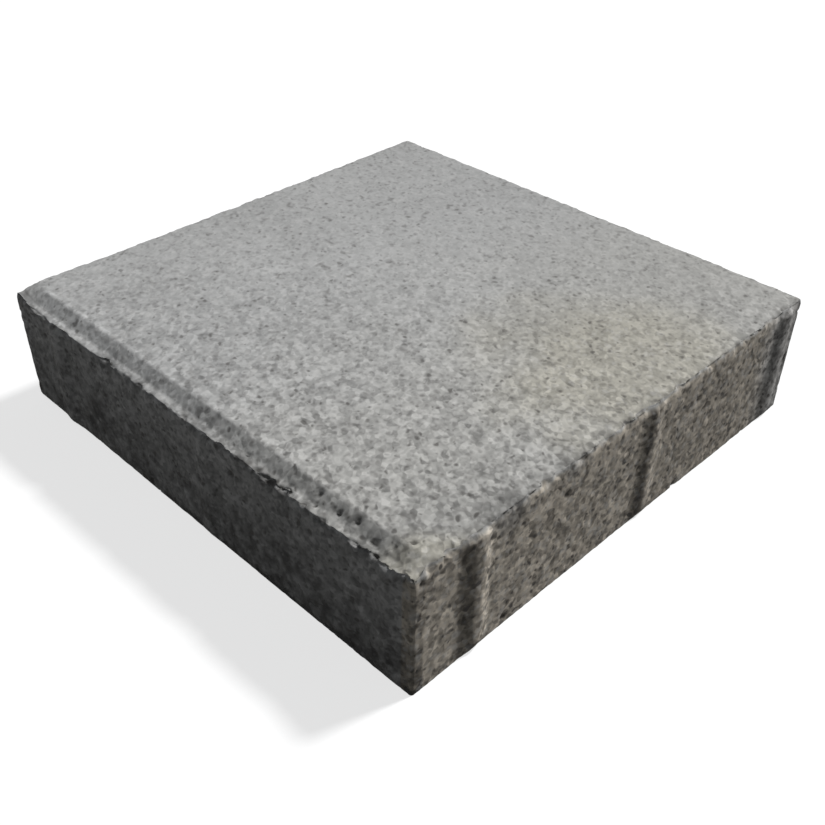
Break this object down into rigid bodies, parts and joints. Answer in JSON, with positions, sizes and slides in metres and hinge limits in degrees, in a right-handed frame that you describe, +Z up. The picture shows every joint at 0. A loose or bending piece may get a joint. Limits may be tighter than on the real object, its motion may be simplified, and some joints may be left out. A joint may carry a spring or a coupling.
{
  "type": "concrete paving stone",
  "caption": "Square cast concrete paving stone with a bevelled and stepped top edge along one side and low rounded spacer nibs on its side faces.",
  "frame": {"origin": "centre of the underside, midway between opposite side faces", "axes": "+Z up through the thickness, towards the walking face; -Y towards the side whose top edge is bevelled; X along that edge"},
  "size_m": [0.3024, 0.3024, 0.07],
  "materials": {
    "concrete": "matt, fine-grained, open-pored cast concrete"
  },
  "bodies": {
    "root": {"paving_stone": "concrete"}
  },
  "joints": []
}
